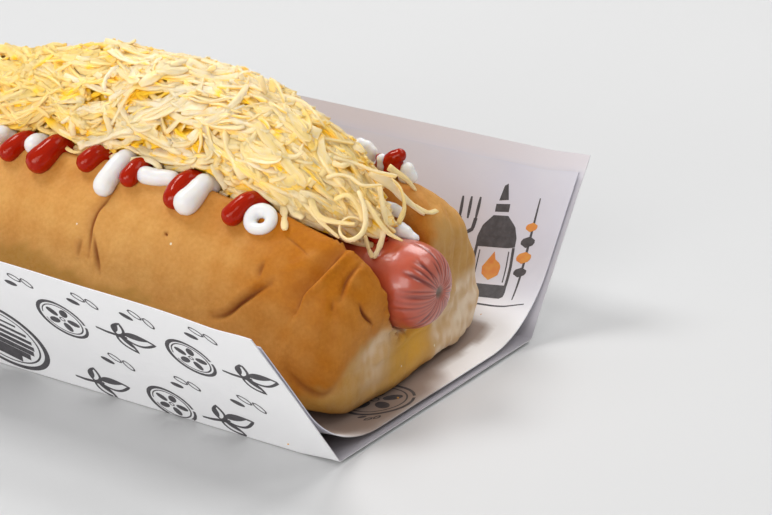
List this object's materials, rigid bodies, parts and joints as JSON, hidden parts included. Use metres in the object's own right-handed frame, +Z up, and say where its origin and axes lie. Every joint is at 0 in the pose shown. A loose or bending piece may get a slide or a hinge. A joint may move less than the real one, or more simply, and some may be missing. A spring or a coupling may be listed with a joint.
{
  "type": "hot dog",
  "caption": "Soft bun slit along the top and holding a sausage, with zigzags of ketchup and mayonnaise and a heap of grated cheese, in an open folded paper tray with a liner.",
  "frame": {"origin": "under the middle of the paper tray, on the surface that it stands on", "axes": "+X along the bun and the sausage, +Y across the tray towards its back wall, +Z up"},
  "size_m": [0.201, 0.1634, 0.0835],
  "materials": {
    "tray_paper": "matt white food paper with a charcoal line print outside",
    "liner_paper": "matt white greaseproof paper with a sparse charcoal and orange print",
    "bread": "soft golden-brown crust with a low sheen, paler and floury at the ends",
    "sausage": "moist pink-red casing, glossy",
    "cheese": "pale yellow grated cheese, soft sheen",
    "ketchup": "deep red, wet gloss",
    "mayonnaise": "creamy white, wet gloss"
  },
  "bodies": {
    "root": {"paper_outer": "tray_paper", "paper_liner": "liner_paper", "bun": "bread", "sausage": "sausage", "cheese": "cheese"}
  },
  "joints": []
}
